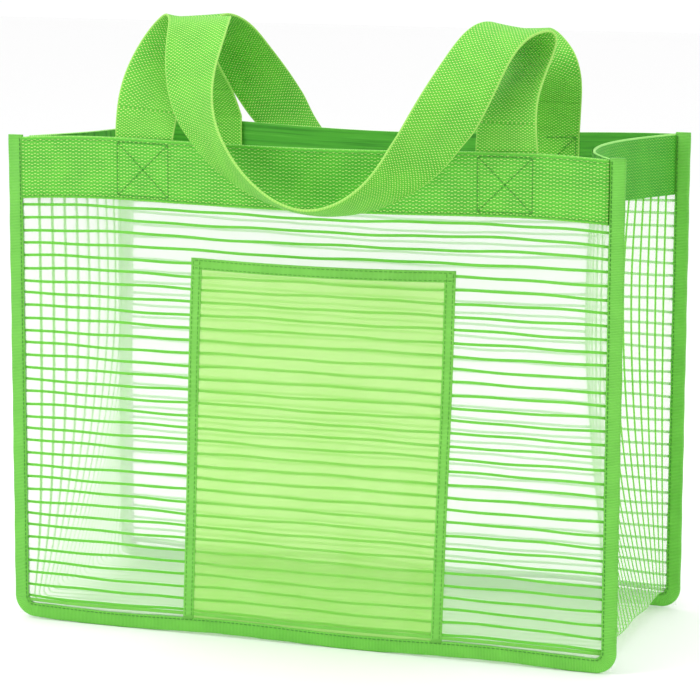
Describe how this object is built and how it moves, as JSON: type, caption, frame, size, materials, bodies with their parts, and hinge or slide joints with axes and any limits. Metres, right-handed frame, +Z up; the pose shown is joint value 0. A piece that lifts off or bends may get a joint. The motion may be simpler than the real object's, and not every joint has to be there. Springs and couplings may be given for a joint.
{
  "type": "beach bag",
  "caption": "Boxy open-topped beach tote of sheer striped fabric with webbing bands, folded-tape edges, a front pocket and webbing handles that swing.",
  "frame": {"origin": "on the floor, under the middle of the bag's box", "axes": "+Z up, +X along the front towards its right-hand side, -Y towards the viewer of the pocket side"},
  "size_m": [0.393, 0.2654, 0.3835],
  "materials": {
    "sheer": "sheer milky fabric with fine green stripes",
    "webbing": "coarse woven polypropylene webbing, lime green",
    "binding": "ribbed grosgrain tape, light green",
    "pocket": "translucent lime sheet, satin",
    "thread": "twisted polyester sewing thread, dark green"
  },
  "bodies": {
    "bag": {"front_panel": "sheer", "back_panel": "sheer", "gusset_strip": "sheer", "front_top_band": "webbing", "back_top_band": "webbing", "left_gusset_band": "webbing", "right_gusset_band": "webbing", "front_binding": "binding", "back_binding": "binding", "pocket": "pocket", "front_handle_left_tab": "webbing", "front_handle_right_tab": "webbing", "back_handle_left_tab": "webbing", "back_handle_right_tab": "webbing", "front_handle_stitching": "thread", "back_handle_stitching": "thread", "front_binding_stitching": "thread", "back_binding_stitching": "thread", "front_band_stitching": "thread", "back_band_stitching": "thread", "pocket_stitching": "thread"},
    "front_handle": {"front_handle": "webbing"},
    "back_handle": {"back_handle": "webbing"}
  },
  "joints": [
    {"name": "front_handle_swing", "type": "hinge", "parent": "bag", "child": "front_handle", "pos_m": [0.0095, -0.08165, 0.30705], "axis": [-1, 0, 0], "range_deg": [0, 45]},
    {"name": "back_handle_swing", "type": "hinge", "parent": "bag", "child": "back_handle", "pos_m": [-0.0095, 0.08165, 0.30705], "axis": [1, 0, 0], "range_deg": [0, 45]}
  ]
}
